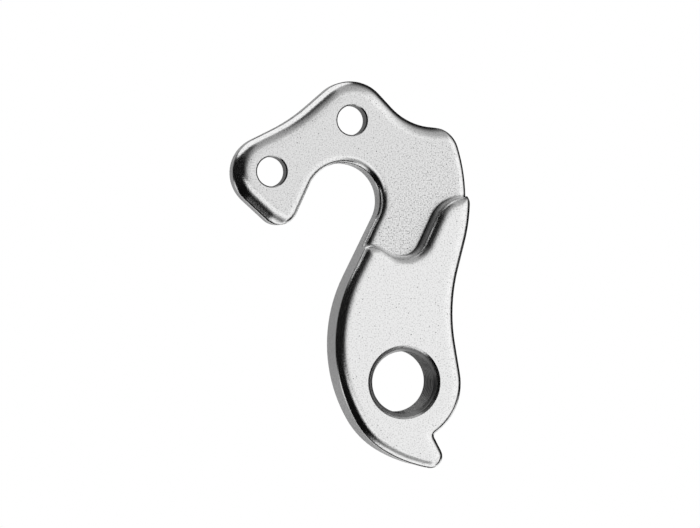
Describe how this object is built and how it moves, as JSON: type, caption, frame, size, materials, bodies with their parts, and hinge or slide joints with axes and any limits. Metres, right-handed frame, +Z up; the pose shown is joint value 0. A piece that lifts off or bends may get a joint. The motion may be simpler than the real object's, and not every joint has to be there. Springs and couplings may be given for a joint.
{
  "type": "bicycle derailleur hanger",
  "caption": "Cast aluminium bracket with an axle hook and a thicker arm that holds a rear derailleur bolt below the wheel axle.",
  "frame": {"origin": "midway between the two frame screw holes, on the inboard face that seats against the frame's dropout", "axes": "+X to the rear of the bicycle, +Y outboard along the screw and bolt axes, +Z up as mounted"},
  "size_m": [0.0344, 0.008, 0.0563],
  "materials": {
    "cast_aluminium": "cast and tumbled, satin"
  },
  "bodies": {
    "root": {"derailleur_hanger": "cast_aluminium"}
  },
  "joints": []
}
